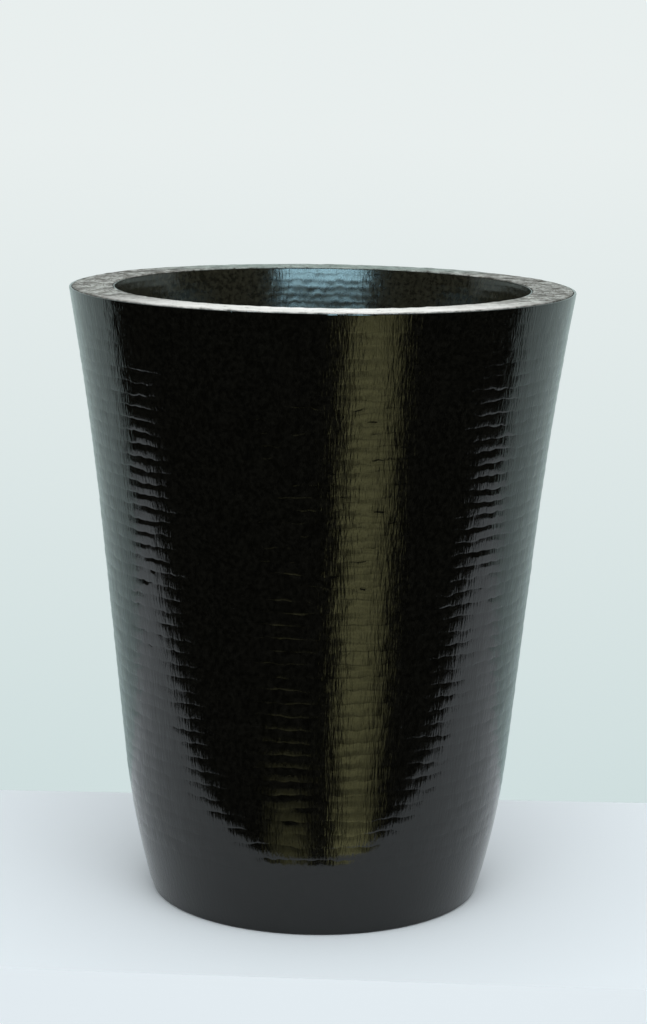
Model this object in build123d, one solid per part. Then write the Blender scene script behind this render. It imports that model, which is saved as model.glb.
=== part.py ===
"""A tall double-walled round planter in millimetres, +Z up, with its origin on the ground under the axis.

The black outer shell is ringed with shallow convex courses, and turns in at the foot as a flange. Inside it
stand a ribbed base plate and the inner pot that the plate carries. A grey rim ring fills the gap between the
thin lips of pot and shell. A rubber plug closes the drain, and lifts out.
"""

import os
from math import copysign, sqrt

from build123d import *

# The shell's outline: a convex foot, a straight taper and a flared mouth
height = 550.0
foot_radius = 149.0
taper_start_radius = 174.0
taper_start_height = 130.0
taper_end_radius = 194.3
taper_end_height = 330.0
mouth_radius = 224.0
shell_wall = 5.0

# The courses, which meet in shallow grooves and get closer together from the foot to the mouth
foot_band = 62.0
mouth_band = 6.0
course_pitch_low = 12.2
course_pitch_high = 10.4
groove_depth = 0.35

# The flange at the shell's foot, the ledge at its mouth, and the lips of shell and pot at their thinnest
flange_width = 24.0
flange_thickness = 6.0
foot_rounding = 2.5
ledge_width = 8.0
lip_thickness = 1.7
lip_rounding = 0.7

# The rim ring
rim_width = 40.5
rim_thickness = 6.0
rim_above_lip = 1.2
rim_edge_chamfer = 0.8
rim_inner_rounding = 1.0
tongue_depth = 12.0
tongue_thickness = 3.0

# The inner pot, whose skirt slips over the base plate's outer pedestal
pot_wall = 4.5
pot_floor_height = 46.0
pot_floor_thickness = 5.0
pot_corner_rounding = 22.0
hollow_beside_floor = 17.5
pot_flange_width = 7.0
pot_flange_thickness = 4.0
skirt_depth = 9.0
skirt_thickness = 3.0
skirt_inset = 2.5

# The drain: a well in the pot's floor and a spout through the base plate
well_radius = 32.0
well_depth = 6.0
drain_bore_radius = 10.0
spout_wall = 3.5
spout_above_ground = 2.0

# The base plate
plate_thickness = 5.0
plate_edge_clearance = 0.5
inner_pedestal_radius = 60.0
pedestal_wall = 4.0
hub_wall = 5.0
rib_count = 8
rib_thickness = 3.0
rib_below_well = 3.0

# The plug
plug_flange_radius = 20.0
plug_flange_thickness = 4.0
plug_flange_rounding = 1.2
plug_stem_length = 18.0
plug_stem_chamfer = 2.0
plug_clearance = 0.3
tab_width = 18.0
tab_thickness = 5.0
tab_height = 15.0
tab_hole_radius = 3.5

# Gap between pieces that slip over or into each other
slip_fit = 0.3

# Solids that are built up from their lower end
UPWARD = (Align.CENTER, Align.CENTER, Align.MIN)


def tangent_arc(start, direction, end):
    """Radius as a function of height along the circle that leaves start along direction and ends at end."""
    normal = Vector(-direction.Y, direction.X)
    chord = end - start
    centre = start + normal * (chord.dot(chord) / (2 * normal.dot(chord)))
    curve = (start - centre).length
    side = copysign(1, start.X - centre.X)
    return lambda z: centre.X + side * sqrt(curve**2 - (z - centre.Y) ** 2)


taper_start = Vector(taper_start_radius, taper_start_height)
taper_end = Vector(taper_end_radius, taper_end_height)
taper = (taper_end - taper_start).normalized()
foot_arc = tangent_arc(taper_start, taper, Vector(foot_radius, 0))
flare_arc = tangent_arc(taper_end, taper, Vector(mouth_radius, height))


def shell_radius(z):
    """Outside radius of the shell at height z, over the crowns of its courses."""
    if z < taper_start_height:
        return foot_arc(z)
    if z > taper_end_height:
        return flare_arc(z)
    return taper_start_radius + (z - taper_start_height) * taper.X / taper.Y


# Heights and radii that follow from the sizes above
lip_height = height - rim_above_lip
rim_underside = height - rim_thickness
mouth_inner_radius = mouth_radius - rim_width
rebate_radius = shell_radius(rim_underside) - lip_thickness
ledge_radius = rebate_radius - ledge_width
pot_floor_underside = pot_floor_height - pot_floor_thickness
pot_floor_radius = shell_radius(pot_floor_height) - shell_wall - hollow_beside_floor - pot_wall
pot_slope = (mouth_inner_radius - pot_floor_radius) / (lip_height - pot_floor_height)
pot_lip_radius = mouth_inner_radius + lip_thickness
pot_flange_radius = mouth_inner_radius + pot_wall + pot_flange_width
skirt_radius = pot_floor_radius - pot_corner_rounding - skirt_inset - skirt_thickness
well_floor = pot_floor_height - well_depth
well_underside = well_floor - pot_floor_thickness
spout_radius = drain_bore_radius + spout_wall
plate_top = flange_thickness + plate_thickness
plate_radius = shell_radius(flange_thickness) - shell_wall - plate_edge_clearance
outer_pedestal_radius = skirt_radius - slip_fit
hub_bore_radius = spout_radius + slip_fit
rib_top = well_underside - rib_below_well


def shell_arc(low, high, inset):
    """Curved stretch of the shell's smooth outline between two heights, moved in by inset."""
    heights = (low, (low + high) / 2, high)
    return ThreePointArc(*[(shell_radius(z) - inset, z) for z in heights])


def course_heights():
    """Heights of the grooves between courses, from the foot band to the mouth band."""
    span = height - mouth_band - foot_band
    pitch_sum = course_pitch_low + course_pitch_high
    count = round(span / (pitch_sum / 2))
    spread = (course_pitch_low - course_pitch_high) / pitch_sum
    shares = [i / count for i in range(count + 1)]
    return [foot_band + span * share * (1 + spread * (1 - share)) for share in shares]


def courses():
    """Outline of the courses: convex arcs that meet in grooves and end flush with the smooth bands."""
    heights = course_heights()
    grooves = [(shell_radius(z) - groove_depth, z) for z in heights]
    grooves[0] = (shell_radius(heights[0]), heights[0])
    grooves[-1] = (shell_radius(heights[-1]), heights[-1])
    arcs = []
    for low, high in zip(grooves, grooves[1:]):
        middle = (low[1] + high[1]) / 2
        arcs.append(ThreePointArc(low, (shell_radius(middle), middle), high))
    return arcs


def rounded(profile, radius, *corners):
    """The profile with the corners nearest to the given points rounded."""
    return fillet([profile.vertices().sort_by_distance(corner)[0] for corner in corners], radius)


def turned(profile):
    """The solid that a profile of radius and height makes when it is turned about the axis."""
    return revolve(Plane.XZ * profile, Axis.Z)


def outer_shell():
    """The skin with its courses, the flange that it stands on, and the ledge that the rim ring sits on."""
    flange_radius = foot_radius - flange_width
    wall_start = shell_radius(flange_thickness) - shell_wall
    ledge_foot = rim_underside - ledge_width
    profile = make_face(
        [
            Line((flange_radius, 0), (foot_radius, 0)),
            shell_arc(0, foot_band, 0),
            *courses(),
            shell_arc(height - mouth_band, lip_height, 0),
            Polyline(
                (shell_radius(lip_height), lip_height),
                (rebate_radius, lip_height),
                (rebate_radius, rim_underside),
                (ledge_radius, rim_underside),
                (shell_radius(ledge_foot) - shell_wall, ledge_foot),
            ),
            shell_arc(ledge_foot, taper_end_height, shell_wall),
            Line(
                (taper_end_radius - shell_wall, taper_end_height),
                (taper_start_radius - shell_wall, taper_start_height),
            ),
            shell_arc(taper_start_height, flange_thickness, shell_wall),
            Polyline(
                (wall_start, flange_thickness),
                (flange_radius, flange_thickness),
                (flange_radius, 0),
            ),
        ]
    )
    profile = rounded(profile, foot_rounding, (foot_radius, 0))
    lip_corners = (shell_radius(lip_height), lip_height), (rebate_radius, lip_height)
    return turned(rounded(profile, lip_rounding, *lip_corners))


def rim_ring():
    """The flat ring round the mouth, with two tongues that hold it between pot and shell."""
    outside = rebate_radius - slip_fit
    inside = pot_lip_radius + slip_fit
    outer_tongue = ledge_radius - slip_fit
    inner_tongue = pot_flange_radius + slip_fit
    tongue_end = rim_underside - tongue_depth
    profile = make_face(
        Polyline(
            (inside, rim_underside),
            (inner_tongue, rim_underside),
            (inner_tongue, tongue_end),
            (inner_tongue + tongue_thickness, tongue_end),
            (inner_tongue + tongue_thickness, rim_underside),
            (outer_tongue - tongue_thickness, rim_underside),
            (outer_tongue - tongue_thickness, tongue_end),
            (outer_tongue, tongue_end),
            (outer_tongue, rim_underside),
            (outside, rim_underside),
            (outside, height - rim_edge_chamfer),
            (outside - rim_edge_chamfer, height),
            (inside, height),
            (inside, rim_underside),
        )
    )
    return turned(rounded(profile, rim_inner_rounding, (inside, height)))


def inner_pot():
    """The pot with its lip, flange, drain well, spout, and the skirt that centres it on the base plate."""
    skirt_end = pot_floor_underside - skirt_depth
    flange_underside = rim_underside - pot_flange_thickness
    wall_at_flange = mouth_inner_radius + pot_wall - pot_slope * (lip_height - flange_underside)
    outer_corner = pot_floor_radius + pot_wall - pot_slope * pot_floor_thickness
    well_outside = well_radius + pot_floor_thickness
    profile = make_face(
        Polyline(
            (mouth_inner_radius, lip_height),
            (pot_floor_radius, pot_floor_height),
            (well_radius, pot_floor_height),
            (well_radius, well_floor),
            (drain_bore_radius, well_floor),
            (drain_bore_radius, spout_above_ground),
            (spout_radius, spout_above_ground),
            (spout_radius, well_underside),
            (well_outside, well_underside),
            (well_outside, pot_floor_underside),
            (skirt_radius, pot_floor_underside),
            (skirt_radius, skirt_end),
            (skirt_radius + skirt_thickness, skirt_end),
            (skirt_radius + skirt_thickness, pot_floor_underside),
            (outer_corner, pot_floor_underside),
            (wall_at_flange, flange_underside),
            (pot_flange_radius, flange_underside),
            (pot_flange_radius, rim_underside),
            (pot_lip_radius, rim_underside),
            (pot_lip_radius, lip_height),
            (mouth_inner_radius, lip_height),
        )
    )
    outer_rounding = pot_corner_rounding + pot_wall
    profile = rounded(profile, lip_rounding, (mouth_inner_radius, lip_height), (pot_lip_radius, lip_height))
    profile = rounded(profile, pot_corner_rounding, (pot_floor_radius, pot_floor_height))
    profile = rounded(profile, outer_rounding, (outer_corner, pot_floor_underside))
    return turned(profile)


def plate_disc(radius, top):
    """A disc or post that stands on the shell's flange and reaches up to top."""
    return Pos(0, 0, flange_thickness) * Cylinder(radius, top - flange_thickness, align=UPWARD)


def pedestal(radius):
    """A ring on the base plate that carries the pot's floor, given its outer radius."""
    return plate_disc(radius, pot_floor_underside) - plate_disc(radius - pedestal_wall, pot_floor_underside)


def base_plate():
    """The disc inside the foot, with two pedestal rings, a hub round the spout and ribs."""
    plate = plate_disc(plate_radius, plate_top) + plate_disc(hub_bore_radius + hub_wall, rib_top)
    plate += pedestal(outer_pedestal_radius) + pedestal(inner_pedestal_radius)
    plate += PolarLocations(0, rib_count) * rib()
    return plate - plate_disc(hub_bore_radius, rib_top)


def rib():
    """One rib of the base plate, from the axis to the middle of the outer pedestal's wall."""
    length = outer_pedestal_radius - pedestal_wall / 2
    web = Box(length, rib_thickness, rib_top - flange_thickness, align=UPWARD)
    return Pos(length / 2, 0, flange_thickness) * web


def drain_plug():
    """The rubber plug: a stem in the drain, a flange on the well's floor and a tab to pull it by."""
    stem_radius = drain_bore_radius - plug_clearance
    stem_end = well_floor - plug_stem_length
    flange_top = well_floor + plug_flange_thickness
    profile = make_face(
        Polyline(
            (0, stem_end),
            (stem_radius - plug_stem_chamfer, stem_end),
            (stem_radius, stem_end + plug_stem_chamfer),
            (stem_radius, well_floor),
            (plug_flange_radius, well_floor),
            (plug_flange_radius, flange_top),
            (0, flange_top),
            (0, stem_end),
        )
    )
    plug = turned(rounded(profile, plug_flange_rounding, (plug_flange_radius, flange_top)))
    return plug + Pos(0, 0, flange_top) * pull_tab()


def pull_tab():
    """The plug's upright tab, round at the top, with a hole through it."""
    crown = tab_height - tab_width / 2
    root = plug_flange_thickness / 2
    outline = Pos(0, (crown - root) / 2) * Rectangle(tab_width, crown + root)
    outline += Pos(0, crown) * Circle(tab_width / 2)
    outline -= Pos(0, crown) * Circle(tab_hole_radius)
    return extrude(Plane.XZ * outline, tab_thickness / 2, both=True)


os.makedirs("parts", exist_ok=True)
for name, solid in {
    "outer_shell": outer_shell(),
    "rim_ring": rim_ring(),
    "inner_pot": inner_pot(),
    "base_plate": base_plate(),
    "drain_plug": drain_plug(),
}.items():
    export_step(solid, f"parts/{name}.step")
    print(name, round(solid.volume / 1000), "cm3")
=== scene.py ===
"""The looks of a tall round planter: a hammered gloss skin, a fibrous rim ring and a hammered inner pot.

Lengths are in metres and +Z is up. The skin, the rim ring and the pot are meshes of their own that follow
the solid model's outlines. The base plate and the plug are the solid model's own meshes with new materials.
"""

import math

import bpy
import numpy as np
from mathutils import Matrix, Vector

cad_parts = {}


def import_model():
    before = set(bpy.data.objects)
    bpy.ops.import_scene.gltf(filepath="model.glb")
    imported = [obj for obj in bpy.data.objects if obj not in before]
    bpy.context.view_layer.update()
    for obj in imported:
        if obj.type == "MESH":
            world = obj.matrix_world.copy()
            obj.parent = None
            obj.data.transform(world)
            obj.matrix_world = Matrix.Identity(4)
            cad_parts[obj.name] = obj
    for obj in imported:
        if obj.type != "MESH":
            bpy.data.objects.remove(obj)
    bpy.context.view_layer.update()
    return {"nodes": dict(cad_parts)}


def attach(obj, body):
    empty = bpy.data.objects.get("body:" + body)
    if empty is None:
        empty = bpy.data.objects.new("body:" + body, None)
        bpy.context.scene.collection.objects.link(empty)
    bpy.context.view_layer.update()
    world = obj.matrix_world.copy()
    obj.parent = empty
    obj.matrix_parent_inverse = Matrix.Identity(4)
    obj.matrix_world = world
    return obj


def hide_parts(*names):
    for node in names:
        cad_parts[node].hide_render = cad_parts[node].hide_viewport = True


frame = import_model()

# The shell's outline, as in the solid model
height = 0.550
foot_radius = 0.149
taper_start = np.array([0.174, 0.130])
taper_end = np.array([0.1943, 0.330])
mouth_radius = 0.224
shell_wall = 0.005
flange_radius = 0.125
flange_thickness = 0.006
foot_rounding = 0.0025

# Where the skin is cut into rings besides its courses: heights inside the shell, and shares of the foot band
shell_inside_heights = (0.45, taper_end[1], 0.23, taper_start[1], 0.06)
foot_band_shares = (0.2, 0.4, 0.6, 0.8, 0.95)

# The shell's courses. Their grooves have the full depth at mid height, and towards the foot and the mouth a
# share of it, given here as (height, share).
foot_band = 0.062
mouth_band = 0.006
course_pitch_low = 0.0122
course_pitch_high = 0.0104
groove_depth = 0.00026
groove_shares = ((0.06, 0.5), (0.20, 0.75), (0.30, 1.0), (0.485, 1.0), (0.527, 0.15))

# Across one course of the skin, from its lower groove up to the next: the share of its height, its set-back
# as a share of the groove's depth, and how strongly the hammer marks show
skin_rows = ((0.0, 1.0, 0.5), (0.06, 0.74, 0.8), (0.18, 0.42, 1.0), (0.48, 0.06, 1.0), (0.74, 0.0, 1.0))

# A hammer mark of the skin: its usual width, and the least and the most that it swells, leans sideways and
# hangs over the course below
skin_mark_width = 0.015
skin_mark_crown = (0.00003, 0.00015)
skin_mark_lean = (-0.00028, 0.00028)
skin_mark_lobe = (0.0003, 0.0018)

# The lips of shell and pot, and the ledge under the rim ring. The bevels cut the lips' edges, and the worn
# shoulder of the shell's lip reaches down by about this share of its drop.
lip_height = 0.5488
lip_thickness = 0.0017
lip_rounding = 0.0007
lip_outer_bevel = 0.4 * lip_rounding
lip_inner_bevel = 0.5 * lip_rounding
pot_mouth_bevel = 0.6 * lip_rounding
lip_shoulder_drop = 0.002
lip_shoulder_share = 0.4
rim_underside = 0.544
ledge_width = 0.008

# The rim ring. Its top is worn down from the full height by rim_wear.
rim_width = 0.0405
rim_wear = 0.0004
rim_top_rings = 15
rim_edge_chamfer = 0.0008
seam = 0.0003
tongue_depth = 0.012
tongue_thickness = 0.003

# The inner pot, whose floor has one more ring between its corner and its well
pot_wall = 0.0045
pot_floor_height = 0.046
pot_floor_thickness = 0.005
pot_corner_rounding = 0.022
pot_corner_turns = (0, 22, 45, 68, 90)
pot_floor_ring = 0.07
pot_flange_width = 0.007
pot_flange_thickness = 0.004
pot_flare = 0.0005
pot_flare_height = 0.020
hollow_beside_floor = 0.0175
skirt_depth = 0.009
skirt_thickness = 0.003
skirt_inset = 0.0025
well_radius = 0.032
well_depth = 0.006
drain_bore_radius = 0.010
spout_wall = 0.0035
spout_above_ground = 0.002

# The pot's scales: the pitch of their rows, a scale's usual width, the least and the most that it swells and
# arches up, and the share of its swell that is left at its sides
scale_pitch = 0.0070
scale_width = 0.0105
scale_crown = (0.00008, 0.00026)
scale_arch = (0.0006, 0.0024)
scale_side = 0.25

# Across one row of scales, from its upper line down: the share of its height, its bulge towards the axis,
# and how strongly the scales show
scale_rows = ((0.0, 0.0, 0.2), (0.35, 0.85, 1.0), (0.75, 0.9, 1.0))

# How much the widths of hammer marks and scales vary
mark_width_range = (0.6, 1.4)

# Random waves round the axis, as the waves in one turn and their size
foot_wave = (9, 0.00008)
course_wave = (14, 0.00006)
groove_line_wave = (16, 0.0005)
groove_depth_wave = (30, 0.2)
lip_shoulder_wave = (11, 0.35)
rim_outside_wave = (90, 0.00015)
rim_inside_wave = (110, 0.0004)
rim_top_waves = ((9, 0.00007), (60, 0.00009))
scale_line_wave = (18, 0.0004)

# The starting numbers of the random draws
skin_seed = 11
rim_seed = 23
pot_seed = 37

# How finely the walls are cut round the axis
segments = 390
angles = np.arange(segments) * 2 * math.pi / segments

# The gloss plastic of the skin and the pot: its black, its dust, its roughness, how deep its streaks are,
# and the scale of their pattern across and upward
skin_black = (0.0016, 0.0016, 0.0011)
skin_dust = (0.005, 0.005, 0.004)
skin_roughness = 0.06
skin_streaks = 0.00020
pot_black = (0.010, 0.010, 0.006)
pot_dust = (0.034, 0.034, 0.022)
pot_roughness = 0.15
pot_streaks = 0.00012
streaks_across = 520.0
streaks_upward = 65.0

# The rim ring's colours, the pale and the white ones for a painted sheen on its front
rim_dark = (0.06, 0.055, 0.045)
rim_grey = (0.23, 0.23, 0.215)
rim_light = (0.48, 0.50, 0.47)
rim_fibre = (0.08, 0.065, 0.045)
rim_speck = (0.040, 0.032, 0.022)
rim_grime = (0.05, 0.045, 0.035)
rim_greenish = (0.28, 0.38, 0.35)
rim_sheen_pale = (0.72, 0.73, 0.69)
rim_sheen_white = (0.88, 0.88, 0.86)

# Where along Y the rim ring turns greenish at the back and takes a painted pale sheen at the front, and the
# radii between which grime sets in
rim_back = (0.13, 0.19)
rim_sheen_front = (-0.10, -0.185)
rim_grime_radii = (0.2165, 0.2205)

# The matt base plate and the rubber plug
base_black = (0.03, 0.03, 0.029)
base_roughness = 0.55
base_grain = 900.0
plug_black = (0.022, 0.022, 0.022)
plug_roughness = 0.6
plug_grain = 1400.0

# The camera, fitted to the rim and the foot: its lens and sensor in millimetres, and its turns in radians
lens = 88.92
sensor = 36.0
camera_place = Vector((0.0035, -2.238, 0.7656))
camera_pitch = 0.1853
camera_roll = 0.0146

# The table. Its front and back edges cross the Y axis here and run askew by these slopes. The front edge is
# straight as far as table_straight to both sides, and from there runs back, by the set-back at its ends.
table_front = -0.2515
table_front_slope = -0.0534
table_back = 0.261
table_back_slope = -0.0186
table_left = -1.30
table_right = 1.26
table_straight = 0.30
table_left_set_back = 0.17
table_right_set_back = 0.20
table_drop = 0.75
cloth_colour = (0.86, 0.94, 0.99)
stage_roughness = 0.9

# The pale wall behind the table: its outline in x and z, and its colour
wall_outline = ((-1.02, 0), (1.30, 0), (1.30, -0.2), (1.57, -0.2), (1.57, 2.0), (-1.18, 2.0), (-1.18, 0.30))
wall_colour = (0.69, 0.84, 0.82)

# The sunlit floor in front of the table: each strip's turn to the right of the view in degrees, its strength
# and its far end. Both begin at one distance from the axis and widen by lit_floor_spread to each side. Their
# glow follows these shares round a whole turn, where 0.5 is straight along the strip.
lit_floor_strips = ((23.3, 1.3, 7.0), (-15.5, 0.42, 1.75))
lit_floor_start = 0.9
lit_floor_spread = 0.5
lit_floor_colour = (1.0, 0.98, 0.46)
lit_floor_shares = ((0.459, 0.0), (0.489, 1.0), (0.511, 1.0), (0.541, 0.0))
lit_floor_patches = 1.4

# The window in front, as its panes' left and right ends. It is small and near, so that only the pot's far
# wall and the lip see it. It glows by these shares from its sill up.
window_panes = ((-0.262, -0.133), (-0.117, 0.096), (0.112, 0.262))
window_place = (0, -0.5, 0.575)
window_height = 0.17
window_colour = (0.50, 0.85, 1.0)
window_strength = 17.0
window_shares = ((0.06, 0.02), (0.22, 0.20), (0.60, 1.0))

# The ceiling light, between these ends along X and Y
ceiling_light_x = (-0.5, 1.4)
ceiling_light_y = (-2.0, -0.5)
ceiling_light_height = 2.3
ceiling_light_colour = (1.0, 1.0, 0.95)
ceiling_light_strength = 3.0

# The soft lamp overhead, in metres and watts
lamp_place = Vector((0.1, -1.1, 2.3))
lamp_target = Vector((0, 0, 0.5))
lamp_size = 1.2
lamp_power = 17.0

# The room: what the camera sees from low to high elevations, the dark that gloss sees, and the soft light
# The backdrop darkens towards low elevations: painted shade, as on a wall less lit low down
backdrop_low = (0.62, 0.73, 0.73)
backdrop_high = (0.81, 0.86, 0.855)
backdrop_elevations = (-0.30, -0.04)
gloss_dark = (0.9, 1.0, 0.8)
gloss_dark_strength = 0.005
soft_light = (0.8, 0.8, 0.8)


def tangent_arc(start, direction, end):
    """Radius as a function of height along the circle that leaves start along direction and ends at end."""
    normal = np.array([-direction[1], direction[0]])
    chord = end - start
    centre = start + normal * (chord @ chord / (2 * normal @ chord))
    curve = np.linalg.norm(start - centre)
    side = np.sign(start[0] - centre[0])
    return lambda z: centre[0] + side * np.sqrt(np.maximum(curve**2 - (z - centre[1]) ** 2, 0))


taper = (taper_end - taper_start) / np.linalg.norm(taper_end - taper_start)
foot_arc = tangent_arc(taper_start, taper, np.array([foot_radius, 0]))
flare_arc = tangent_arc(taper_end, taper, np.array([mouth_radius, height]))


def shell_radius(z):
    """Outside radius of the shell at height z, over the crowns of its courses."""
    straight = taper_start[0] + (z - taper_start[1]) * taper[0] / taper[1]
    return np.where(z < taper_start[1], foot_arc(z), np.where(z > taper_end[1], flare_arc(z), straight))


def shell_inside(z):
    """Inside radius of the shell's wall at height z."""
    return float(shell_radius(z)) - shell_wall


# Radii that follow from the sizes above
mouth_inner_radius = mouth_radius - rim_width
rebate_radius = float(shell_radius(rim_underside)) - lip_thickness
ledge_radius = rebate_radius - ledge_width
pot_floor_radius = shell_inside(pot_floor_height) - hollow_beside_floor - pot_wall
pot_slope = (mouth_inner_radius - pot_floor_radius) / (lip_height - pot_floor_height)
pot_lip_radius = mouth_inner_radius + lip_thickness
pot_flange_radius = mouth_inner_radius + pot_wall + pot_flange_width


def ripple(rng, cycles, size):
    """Smooth random wave round the axis, of about that many cycles and with size as its spread."""
    orders = np.arange(cycles // 2, cycles * 3 // 2 + 1)
    weights = rng.normal(size=len(orders))
    phases = rng.uniform(0, 2 * math.pi, len(orders))
    wave = weights @ np.cos(orders[:, None] * angles + phases[:, None])
    return size * wave / wave.std()


def hammer_marks(rng, width, radius):
    """A row of marks round the axis: each angle's mark, how far across it the angle is, and their number."""
    count = round(2 * math.pi * radius / width)
    widths = rng.uniform(*mark_width_range, count)
    borders = np.concatenate([[0], np.cumsum(widths)]) / widths.sum()
    turn = (angles / (2 * math.pi) + rng.random()) % 1
    mark = np.clip(np.searchsorted(borders, turn, side="right") - 1, 0, count - 1)
    across = (turn - borders[mark]) / (borders[mark + 1] - borders[mark])
    return mark, across, count


def ring(radius, z):
    """One ring of radii and heights, where either may be a number or an array round the axis."""
    return np.stack(np.broadcast_arrays(radius, z, angles)[:2], -1)


def outline(*points):
    """Rings through the points of an outline, each given as its radius and its height."""
    return [ring(radius, z) for radius, z in points]


def quarter_turn(radius, bottom, across, upward, turns):
    """Rings of a rounded corner between a wall at radius and a floor at bottom, with turns in degrees."""
    inward = [across * (1 - math.cos(math.radians(turn))) for turn in turns]
    raised = [upward * (1 - math.sin(math.radians(turn))) for turn in turns]
    return outline(*((radius - back, bottom + up) for back, up in zip(inward, raised)))


def turned(name, rings, crease_angle):
    """A closed mesh from rings of radii and heights, each joined to the next and the last to the first.

    Edges that fold by more than the crease angle, in degrees, stay sharp.
    """
    rings = np.array(rings)
    rows, columns = rings.shape[:2]
    radii = rings[..., 0]
    heights = rings[..., 1]
    points = np.stack([radii * np.cos(angles), radii * np.sin(angles), heights], -1).reshape(-1, 3)
    row, column = np.indices((rows, columns))
    here = row * columns
    above = (row + 1) % rows * columns
    beside = (column + 1) % columns
    quads = np.stack((here + column, here + beside, above + beside, above + column), -1).reshape(-1, 4)
    mesh = bpy.data.meshes.new(name)
    mesh.from_pydata(points, [], quads)
    mesh.validate()
    mesh.shade_smooth()
    mesh.set_sharp_from_angle(angle=math.radians(crease_angle))
    piece = bpy.data.objects.new(name, mesh)
    shading = piece.modifiers.new("broad_faces_lead", "WEIGHTED_NORMAL")
    shading.keep_sharp = True
    bpy.context.scene.collection.objects.link(piece)
    return piece


def course_heights():
    """Heights of the grooves between courses, from the foot band to the mouth band."""
    span = height - mouth_band - foot_band
    pitch_sum = course_pitch_low + course_pitch_high
    count = round(span / (pitch_sum / 2))
    spread = (course_pitch_low - course_pitch_high) / pitch_sum
    shares = np.arange(count + 1) / count
    return foot_band + span * shares * (1 + spread * (1 - shares))


def skin_marks(rng, radius):
    """One course's relief from its hammer marks, and how far each lobe hangs over the course below."""
    mark, across, count = hammer_marks(rng, skin_mark_width, radius)
    swell = np.sin(math.pi * across)
    crown = rng.uniform(*skin_mark_crown, count)[mark]
    lean = rng.uniform(*skin_mark_lean, count)[mark]
    lobe = rng.uniform(*skin_mark_lobe, count)[mark]
    relief = crown * swell + lean * (across - 0.5) * swell
    return relief + ripple(rng, *course_wave), lobe * swell


def skin_courses(rng):
    """Rings of the hammered courses, from the foot band to the mouth band."""
    heights = course_heights()
    marks = [skin_marks(rng, float(shell_radius(z))) for z in heights]
    grooves = [z + ripple(rng, *groove_line_wave) - lobe for z, (_, lobe) in zip(heights, marks)]
    grooves[-1] = np.full(segments, heights[-1])
    rings = []
    for low, high, (relief, _) in zip(grooves, grooves[1:], marks):
        share_here = np.interp(low, *zip(*groove_shares))
        depth = groove_depth * share_here * (1 + ripple(rng, *groove_depth_wave))
        for share, set_back, strength in skin_rows:
            z = low + share * (high - low)
            rings.append(ring(shell_radius(z) - depth * set_back + relief * strength, z))
    return rings


def lip_and_ledge(rng):
    """Rings over the shell's thin lip, down its rebate and in under the ledge that carries the rim ring."""
    share = np.clip(lip_shoulder_share + ripple(rng, *lip_shoulder_wave), 0, 1)
    shoulder = lip_height - lip_rounding - lip_shoulder_drop * share
    edge = float(shell_radius(lip_height))
    ledge_underside = rim_underside - ledge_width
    return outline(
        (shell_radius(shoulder), shoulder),
        (edge - lip_outer_bevel, lip_height - lip_outer_bevel),
        (edge - lip_rounding, lip_height),
        (rebate_radius + lip_inner_bevel, lip_height),
        (rebate_radius, lip_height - lip_inner_bevel),
        (rebate_radius, rim_underside),
        (ledge_radius, rim_underside),
        (shell_inside(ledge_underside), ledge_underside),
    )


def skin():
    """The shell's skin, with the foot flange and the ledge under the rim ring."""
    rng = np.random.default_rng(skin_seed)
    foot_edge = float(shell_radius(0.0))
    rings = outline((flange_radius, 0.0), (foot_edge - foot_rounding, 0.0))
    rings += quarter_turn(foot_edge, 0.0, foot_rounding, foot_rounding, turns=(60, 30, 0))
    for share in foot_band_shares:
        z = foot_band * share
        rings.append(ring(shell_radius(z) + ripple(rng, *foot_wave), z))
    rings += skin_courses(rng)
    rings += lip_and_ledge(rng)
    rings += outline(*((shell_inside(z), z) for z in (*shell_inside_heights, flange_thickness)))
    rings.append(ring(flange_radius, flange_thickness))
    return turned("skin", rings, crease_angle=15)


def rim_ring():
    """The grey ring, with a worn top face, chipped edges and the two tongues under it."""
    rng = np.random.default_rng(rim_seed)
    outside = rebate_radius - seam - np.abs(ripple(rng, *rim_outside_wave))
    inside = pot_lip_radius + seam + np.abs(ripple(rng, *rim_inside_wave))
    outer_tongue = ledge_radius - seam
    inner_tongue = pot_flange_radius + seam
    tongue_end = rim_underside - tongue_depth
    rings = outline((outside, rim_underside), (outside, height - rim_edge_chamfer))
    top_outside = outside - rim_edge_chamfer
    top_inside = inside + rim_edge_chamfer
    for share in np.linspace(0, 1, rim_top_rings):
        unevenness = sum(ripple(rng, *wave) for wave in rim_top_waves)
        rings.append(ring(top_outside + share * (top_inside - top_outside), height - rim_wear + unevenness))
    rings += outline(
        (inside, height - rim_edge_chamfer),
        (inside, rim_underside),
        (inner_tongue, rim_underside),
        (inner_tongue, tongue_end),
        (inner_tongue + tongue_thickness, tongue_end),
        (inner_tongue + tongue_thickness, rim_underside),
        (outer_tongue - tongue_thickness, rim_underside),
        (outer_tongue - tongue_thickness, tongue_end),
        (outer_tongue, tongue_end),
        (outer_tongue, rim_underside),
    )
    return turned("rim", rings, crease_angle=35)


def pot_radius(z):
    """Inside radius of the pot's smooth wall at height z."""
    return mouth_inner_radius - (lip_height - z) * pot_slope


def scale_marks(rng, radius):
    """One row of the pot's scales: its relief, and how far each scale's crown arches up."""
    mark, across, count = hammer_marks(rng, scale_width, radius)
    swell = np.sin(math.pi * across)
    crown = rng.uniform(*scale_crown, count)[mark]
    arch = rng.uniform(*scale_arch, count)[mark]
    return crown * (scale_side + (1 - scale_side) * swell), arch * swell


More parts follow.
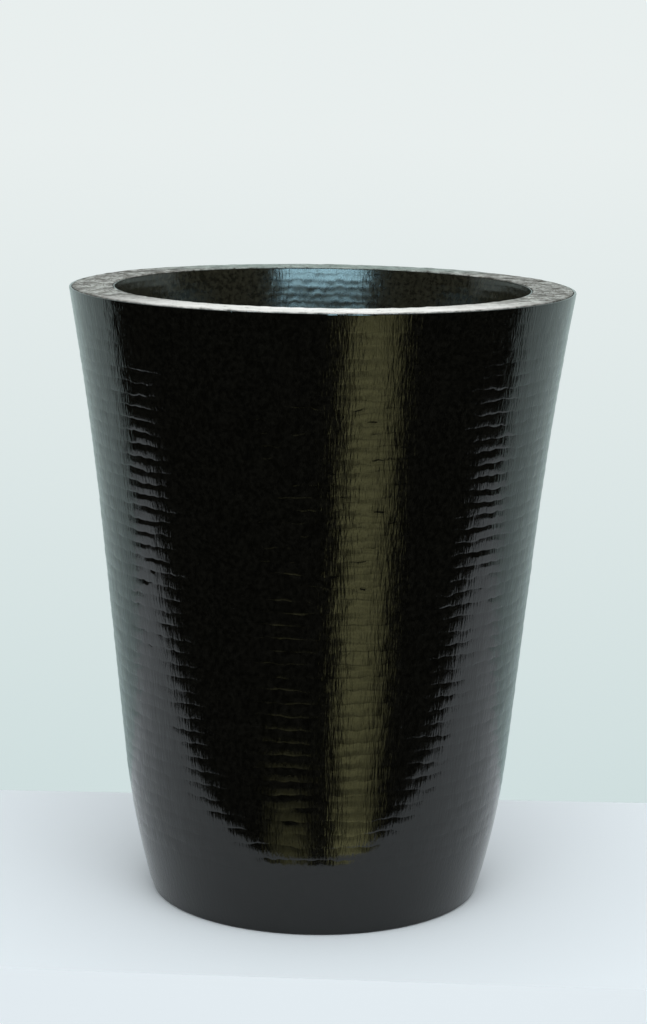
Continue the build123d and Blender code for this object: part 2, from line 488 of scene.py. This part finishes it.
def pot_scales(rng):
    """Rings of the pot's inside wall, from its mouth down to the corner."""
    top = lip_height - lip_rounding
    bottom = pot_floor_height + pot_corner_rounding
    count = round((top - bottom) / scale_pitch)
    edges = np.linspace(top, bottom, count + 1)
    marks = [scale_marks(rng, float(pot_radius(edge))) for edge in edges]
    lines = [edge + ripple(rng, *scale_line_wave) + arch for edge, (_, arch) in zip(edges, marks)]
    lines[0] = np.full(segments, top)
    lines[-1] = np.full(segments, bottom)
    rings = []
    for high, low, (relief, _) in zip(lines, lines[1:], marks):
        for share, bulge, strength in scale_rows:
            z = high + share * (low - high)
            flare = pot_flare * np.clip(1 - (top - z) / pot_flare_height, 0, 1) ** 2
            rings.append(ring(pot_radius(z) + flare - relief * bulge * strength, z))
    return rings


def pot_floor(floor_underside):
    """Rings across the pot's floor: the well, the drain spout and, under the floor, the skirt."""
    well_floor = pot_floor_height - well_depth
    well_underside = well_floor - pot_floor_thickness
    well_outside = well_radius + pot_floor_thickness
    spout_radius = drain_bore_radius + spout_wall
    skirt_radius = pot_floor_radius - pot_corner_rounding - skirt_inset - skirt_thickness
    skirt_end = floor_underside - skirt_depth
    return outline(
        (pot_floor_ring, pot_floor_height),
        (well_radius, pot_floor_height),
        (well_radius, well_floor),
        (drain_bore_radius, well_floor),
        (drain_bore_radius, spout_above_ground),
        (spout_radius, spout_above_ground),
        (spout_radius, well_underside),
        (well_outside, well_underside),
        (well_outside, floor_underside),
        (skirt_radius, floor_underside),
        (skirt_radius, skirt_end),
        (skirt_radius + skirt_thickness, skirt_end),
        (skirt_radius + skirt_thickness, floor_underside),
    )


def pot():
    """The inner pot: hammered inside, smooth outside, with its flange, well, spout and skirt."""
    rng = np.random.default_rng(pot_seed)
    floor_underside = pot_floor_height - pot_floor_thickness
    flange_underside = rim_underside - pot_flange_thickness
    corner = pot_corner_rounding
    wall_foot = float(pot_radius(pot_floor_height + corner))
    rings = outline(
        (pot_flange_radius, rim_underside),
        (pot_lip_radius, rim_underside),
        (pot_lip_radius, lip_height - lip_inner_bevel),
        (pot_lip_radius - lip_inner_bevel, lip_height),
        (mouth_inner_radius + pot_mouth_bevel, lip_height),
    )
    rings += pot_scales(rng)
    rings += quarter_turn(wall_foot, pot_floor_height, corner, corner, pot_corner_turns)
    rings += pot_floor(floor_underside)
    rings += quarter_turn(
        radius=wall_foot + pot_wall,
        bottom=floor_underside,
        across=corner + pot_wall,
        upward=corner + pot_floor_thickness,
        turns=pot_corner_turns[::-1],
    )
    rings += outline(
        (float(pot_radius(flange_underside)) + pot_wall, flange_underside),
        (pot_flange_radius, flange_underside),
    )
    return turned("pot", rings, crease_angle=25)


class Nodes:
    """Short calls for building a tree of shader nodes."""

    def __init__(self, tree):
        self.tree = tree
        self.tree.nodes.clear()

    def add(self, kind, **settings):
        """A new node with its settings."""
        node = self.tree.nodes.new(kind)
        for key, value in settings.items():
            setattr(node, key, value)
        return node

    def link(self, source, target):
        """Joins an output to an input."""
        self.tree.links.new(source, target)

    def feed(self, socket, value):
        """Gives a colour input its colour, which may be another node's output."""
        if isinstance(value, bpy.types.NodeSocket):
            self.link(value, socket)
        else:
            socket.default_value = (*value, 1)

    def span(self, source, low, high, to_low=0.0, to_high=1.0):
        """The source's range from low to high, mapped to another."""
        node = self.add("ShaderNodeMapRange")
        names = ("From Min", "From Max", "To Min", "To Max")
        for name, value in zip(names, (low, high, to_low, to_high)):
            node.inputs[name].default_value = value
        self.link(source, node.inputs["Value"])
        return node.outputs["Result"]

    def math(self, operation, first, second):
        """Two sockets joined by an operation."""
        node = self.add("ShaderNodeMath", operation=operation)
        self.link(first, node.inputs[0])
        self.link(second, node.inputs[1])
        return node.outputs[0]

    def mix(self, share, first, second):
        """Two colours mixed by a share, where each may be a socket or a colour."""
        node = self.add("ShaderNodeMix", data_type="RGBA")
        self.link(share, node.inputs["Factor"])
        self.feed(node.inputs[6], first)
        self.feed(node.inputs[7], second)
        return node.outputs[2]

    def either(self, share, first, second):
        """Two shaders mixed by a share."""
        node = self.add("ShaderNodeMixShader")
        for socket, source in zip(node.inputs, (share, first, second)):
            self.link(source, socket)
        return node.outputs[0]

    def background(self, colour, strength=1.0):
        """Light of one colour, which may be a socket."""
        node = self.add("ShaderNodeBackground")
        self.feed(node.inputs["Color"], colour)
        node.inputs["Strength"].default_value = strength
        return node.outputs[0]


class MaterialNodes(Nodes):
    """The same for one material, round its principled shader."""

    def __init__(self, name):
        self.material = bpy.data.materials.new(name)
        self.material.use_nodes = True
        super().__init__(self.material.node_tree)
        self.shader = self.add("ShaderNodeBsdfPrincipled")
        output = self.add("ShaderNodeOutputMaterial")
        self.link(self.shader.outputs[0], output.inputs["Surface"])
        self.place = self.add("ShaderNodeTexCoord").outputs["Object"]

    def noise(self, scale, detail=4.0, roughness=0.5, place=None):
        """A noise texture's grey output."""
        node = self.add("ShaderNodeTexNoise")
        node.inputs["Scale"].default_value = scale
        node.inputs["Detail"].default_value = detail
        node.inputs["Roughness"].default_value = roughness
        self.link(place or self.place, node.inputs["Vector"])
        return node.outputs["Fac"]

    def scaled(self, place, *scales):
        """Coordinates with a scale for each axis."""
        node = self.add("ShaderNodeVectorMath", operation="MULTIPLY")
        self.link(place, node.inputs[0])
        node.inputs[1].default_value = scales
        return node.outputs[0]

    def ramp(self, source, *stops):
        """A colour ramp, given (position, colour) stops."""
        node = self.add("ShaderNodeValToRGB")
        elements = node.color_ramp.elements
        while len(elements) < len(stops):
            elements.new(0.5)
        for element, (position, colour) in zip(elements, stops):
            element.position = position
            element.color = (*colour, 1)
        self.link(source, node.inputs["Fac"])
        return node.outputs["Color"]

    def polar(self, across, along):
        """The radius, and coordinates that run across the rim ring and along it, with a scale for each."""
        split = self.add("ShaderNodeSeparateXYZ")
        self.link(self.place, split.inputs[0])
        angle = self.math("ARCTAN2", split.outputs["Y"], split.outputs["X"])
        flat = self.add("ShaderNodeCombineXYZ")
        self.link(split.outputs["X"], flat.inputs["X"])
        self.link(split.outputs["Y"], flat.inputs["Y"])
        length = self.add("ShaderNodeVectorMath", operation="LENGTH")
        self.link(flat.outputs[0], length.inputs[0])
        radius = length.outputs["Value"]
        join = self.add("ShaderNodeCombineXYZ")
        self.link(radius, join.inputs["X"])
        self.link(angle, join.inputs["Y"])
        return radius, self.scaled(join.outputs[0], across, along, 1)

    def bump(self, source, distance):
        """Small relief on the shader's normal, as deep as distance."""
        node = self.add("ShaderNodeBump")
        node.inputs["Distance"].default_value = distance
        self.link(source, node.inputs["Height"])
        self.link(node.outputs["Normal"], self.shader.inputs["Normal"])

    def drive(self, name, source):
        """Joins an output to one of the shader's own sockets."""
        self.link(source, self.shader.inputs[name])

    def set(self, **values):
        """Constants on the shader's own sockets."""
        for name, value in values.items():
            self.shader.inputs[name.replace("_", " ")].default_value = value


def gloss_plastic(name, colour, dust, roughness, streaks):
    """Near-black gloss plastic with smears and thin dust, and fine upright streaks as deep as given."""
    nodes = MaterialNodes(name)
    nodes.set(IOR=1.46)
    smears = nodes.noise(14.0, detail=6.0, roughness=0.6)
    nodes.drive("Roughness", nodes.span(smears, 0.35, 0.7, roughness, roughness + 0.06))
    film = nodes.noise(240.0, detail=6.0, roughness=0.65)
    nodes.drive("Base Color", nodes.ramp(film, (0.40, colour), (0.68, dust)))
    upright = nodes.scaled(nodes.place, streaks_across, streaks_across, streaks_upward)
    nodes.bump(nodes.noise(1.0, detail=3.0, place=upright), distance=streaks)
    return nodes.material


def rim_material():
    """Bare moulded edge with a painted pale sheen at the front, grey and dirty at the sides, with fibres and
    dark specks.
    """
    nodes = MaterialNodes("rim")
    nodes.set(IOR=1.45)
    split = nodes.add("ShaderNodeSeparateXYZ")
    nodes.link(nodes.place, split.inputs[0])
    front_to_back = split.outputs["Y"]
    radius, along = nodes.polar(across=420.0, along=16.0)
    mottling = nodes.noise(75.0, detail=8.0, roughness=0.7)
    fibres = nodes.noise(1.0, detail=5.0, roughness=0.7, place=along)
    specks = nodes.noise(170.0, detail=4.0, roughness=0.75)
    mottle = nodes.ramp(mottling, (0.38, rim_dark), (0.48, rim_grey), (0.60, rim_light))
    # Painted sheen: the front of the top face is painted pale to white, except on the dark specks
    painted_sheen = nodes.ramp(nodes.noise(45.0, detail=5.0), (0.3, rim_sheen_pale), (0.7, rim_sheen_white))
    streaked = nodes.mix(nodes.span(fibres, 0.52, 0.60, 0.0, 0.9), mottle, rim_fibre)
    tinted = nodes.mix(nodes.span(front_to_back, *rim_back, 0.0, 0.6), streaked, rim_greenish)
    gritty = nodes.mix(nodes.span(specks, 0.57, 0.62, 0.0, 0.85), tinted, rim_speck)
    front = nodes.math("MULTIPLY", nodes.span(front_to_back, *rim_sheen_front), nodes.span(specks, 0.72, 0.60))
    with_painted_sheen = nodes.mix(front, gritty, painted_sheen)
    edge = nodes.span(radius, *rim_grime_radii)
    grime = nodes.math("MULTIPLY", nodes.span(fibres, 0.30, 0.60, 1.0, 0.1), edge)
    nodes.drive("Base Color", nodes.mix(grime, with_painted_sheen, rim_grime))
    nodes.drive("Roughness", nodes.span(mottle, 0.1, 0.6, 0.75, 0.5))
    nodes.bump(nodes.noise(600.0, detail=6.0, roughness=0.7), distance=0.0005)
    return nodes.material


def matte_material(name, colour, roughness, grain):
    """Moulded matt surface with a fine grain."""
    nodes = MaterialNodes(name)
    nodes.set(IOR=1.5)
    lighter = tuple(1.5 * part for part in colour)
    nodes.drive("Base Color", nodes.ramp(nodes.noise(30.0, detail=6.0), (0.3, colour), (0.7, lighter)))
    nodes.drive("Roughness", nodes.span(nodes.noise(90.0), 0.3, 0.7, roughness, roughness + 0.12))
    nodes.bump(nodes.noise(grain, detail=3.0), distance=0.00015)
    return nodes.material


def dress(piece, material, slot, *nodes):
    """Gives a new piece its material and its body, and hides the solid model's nodes that it stands for;
    slot is not used.
    """
    piece.data.materials.append(material)
    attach(piece, "planter")
    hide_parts(*nodes)


def paint(node, material):
    """Gives one of the solid model's own meshes a new material."""
    mesh = frame["nodes"][node].data
    mesh.materials.clear()
    mesh.materials.append(material)


def plain_material(name, colour):
    """A plain matt colour for the stage."""
    nodes = MaterialNodes(name)
    nodes.set(Base_Color=(*colour, 1), Roughness=stage_roughness)
    return nodes.material


def glow_material(name, colour, strength, gradient, stops, patches=0.0):
    """A glow for a reflector: it follows stops of (place, share) along a gradient, and may have patches."""
    nodes = MaterialNodes(name)
    nodes.set(Base_Color=(0, 0, 0, 1), Emission_Color=(*colour, 1))
    fade = nodes.add("ShaderNodeTexGradient", gradient_type=gradient)
    nodes.link(nodes.place, fade.inputs["Vector"])
    share = nodes.ramp(fade.outputs["Fac"], *((place, (share,) * 3) for place, share in stops))
    glow = nodes.span(share, 0.0, 1.0, 0.0, strength)
    if patches:
        cloud = nodes.span(nodes.noise(patches, detail=3.0), 0.35, 0.65, 0.35, 1.5)
        glow = nodes.math("MULTIPLY", glow, cloud)
    nodes.drive("Emission Strength", glow)
    return nodes.material


def stage_mesh(name, points, faces, material):
    """A mesh that belongs to the stage."""
    mesh = bpy.data.meshes.new(name)
    mesh.from_pydata(points, [], faces)
    mesh.materials.append(material)
    piece = bpy.data.objects.new(name, mesh)
    bpy.context.scene.collection.objects.link(piece)
    return piece


def reflector(name, corners, material):
    """A flat piece of the stage that only glossy reflections see."""
    piece = stage_mesh(name, corners, [tuple(range(len(corners)))], material)
    piece.visible_camera = False
    piece.visible_diffuse = False
    piece.visible_shadow = False
    return piece


def table_edge(crossing, slope, x):
    """Where an edge of the table runs at x."""
    return crossing + slope * x


def table():
    """The pale table, with its front corners cut back."""
    left = (table_left, table_left_set_back)
    right = (table_right, table_right_set_back)
    front = (left, (-table_straight, 0), (table_straight, 0), right)
    top = [(x, table_edge(table_front, table_front_slope, x) + set_back, 0) for x, set_back in front]
    top += [(x, table_edge(table_back, table_back_slope, x), 0) for x in (table_right, table_left)]
    low = [(x, y, -table_drop) for x, y, _ in top]
    count = len(top)
    sides = [(i, i + count, (i + 1) % count + count, (i + 1) % count) for i in range(count)]
    cloth = plain_material("table_cloth", cloth_colour)
    stage_mesh("table", top + low, [tuple(range(count)), *sides], cloth)


def wall():
    """The pale wall that rises behind the table's back edge in reflections."""
    corners = [(x, table_edge(table_back, table_back_slope, x), z) for x, z in wall_outline]
    reflector("wall", corners, plain_material("wall_paint", wall_colour))


def lit_floor(turn, strength, far):
    """A sunlit strip of floor in front of the table, which the skin shows as an olive band or as dashes."""
    glow = glow_material(
        "lit_floor", lit_floor_colour, strength, "RADIAL", lit_floor_shares, patches=lit_floor_patches
    )
    ends = ((lit_floor_start, -1), (far, -1), (far, 1), (lit_floor_start, 1))
    corners = [(reach, side * lit_floor_spread * reach, 0) for reach, side in ends]
    piece = reflector("lit_floor", corners, glow)
    aim = Matrix.Rotation(math.radians(turn - 90), 4, "Z")
    piece.matrix_world = Matrix.Translation((0, 0, -table_drop)) @ aim


def window():
    """The bright window that shows at the top of the pot's far wall, brighter towards its top."""
    glow = glow_material("window", window_colour, window_strength, "LINEAR", window_shares)
    upright = Matrix.Rotation(math.radians(-90), 4, "Y")
    for left, right in window_panes:
        corners = [(0, 0, -left), (0, 0, -right), (1, 0, -right), (1, 0, -left)]
        pane = reflector("window", corners, glow)
        stretch = Matrix.Diagonal((window_height, 1, 1, 1))
        pane.matrix_world = Matrix.Translation(window_place) @ upright @ stretch


def ceiling_light():
    """The light overhead that shows as a thin line along the lip."""
    even = ((0.0, 1.0), (1.0, 1.0))
    glow = glow_material("ceiling_light", ceiling_light_colour, ceiling_light_strength, "LINEAR", even)
    left, right = ceiling_light_x
    near, far = ceiling_light_y
    flat = ((left, near), (right, near), (right, far), (left, far))
    reflector("ceiling_light", [(x, y, ceiling_light_height) for x, y in flat], glow)


def lamp():
    """The soft square lamp, which gloss doesn't see."""
    light = bpy.data.lights.new("overhead", "AREA")
    light.shape = "SQUARE"
    light.size = lamp_size
    light.energy = lamp_power
    holder = bpy.data.objects.new("overhead", light)
    holder.location = lamp_place
    holder.rotation_mode = "QUATERNION"
    holder.rotation_quaternion = (lamp_target - lamp_place).to_track_quat("-Z", "Y")
    holder.visible_glossy = False
    bpy.context.scene.collection.objects.link(holder)


def world():
    """Pale to the camera, dark to gloss like the unlit room in front, and even soft light for the rest."""
    room = bpy.data.worlds.new("room")
    room.use_nodes = True
    room.cycles.sampling_method = "NONE"
    nodes = Nodes(room.node_tree)
    rays = nodes.add("ShaderNodeLightPath").outputs
    split = nodes.add("ShaderNodeSeparateXYZ")
    nodes.link(nodes.add("ShaderNodeTexCoord").outputs["Generated"], split.inputs[0])
    # Painted shade: the backdrop is darker towards low elevations
    rise = nodes.span(split.outputs["Z"], *backdrop_elevations)
    backdrop = nodes.background(nodes.mix(rise, backdrop_low, backdrop_high))
    dark = nodes.background(gloss_dark, gloss_dark_strength)
    unseen = nodes.either(rays["Is Glossy Ray"], nodes.background(soft_light), dark)
    seen = nodes.math("MAXIMUM", rays["Is Camera Ray"], rays["Is Transmission Ray"])
    output = nodes.add("ShaderNodeOutputWorld")
    nodes.link(nodes.either(seen, unseen, backdrop), output.inputs["Surface"])
    bpy.context.scene.world = room


def camera():
    """The camera at the photograph's place, pitch and roll."""
    data = bpy.data.cameras.new("camera")
    data.sensor_width = sensor
    data.lens = lens
    holder = bpy.data.objects.new("camera", data)
    aim = Matrix.Rotation(math.pi / 2 - camera_pitch, 4, "X") @ Matrix.Rotation(camera_roll, 4, "Z")
    holder.matrix_world = Matrix.Translation(camera_place) @ aim
    bpy.context.scene.collection.objects.link(holder)
    bpy.context.scene.camera = holder


skin_looks = gloss_plastic("skin", skin_black, skin_dust, skin_roughness, skin_streaks)
pot_looks = gloss_plastic("pot", pot_black, pot_dust, pot_roughness, pot_streaks)
dress(skin(), skin_looks, "skin", "outer_shell")
dress(rim_ring(), rim_material(), "rim", "rim_ring")
dress(pot(), pot_looks, "pot", "inner_pot")
paint("base_plate", matte_material("base", base_black, base_roughness, base_grain))
paint("drain_plug", matte_material("plug", plug_black, plug_roughness, plug_grain))

table()
wall()
for strip in lit_floor_strips:
    lit_floor(*strip)
window()
ceiling_light()
lamp()
world()
camera()

scene = bpy.context.scene
scene.view_settings.view_transform = "Standard"
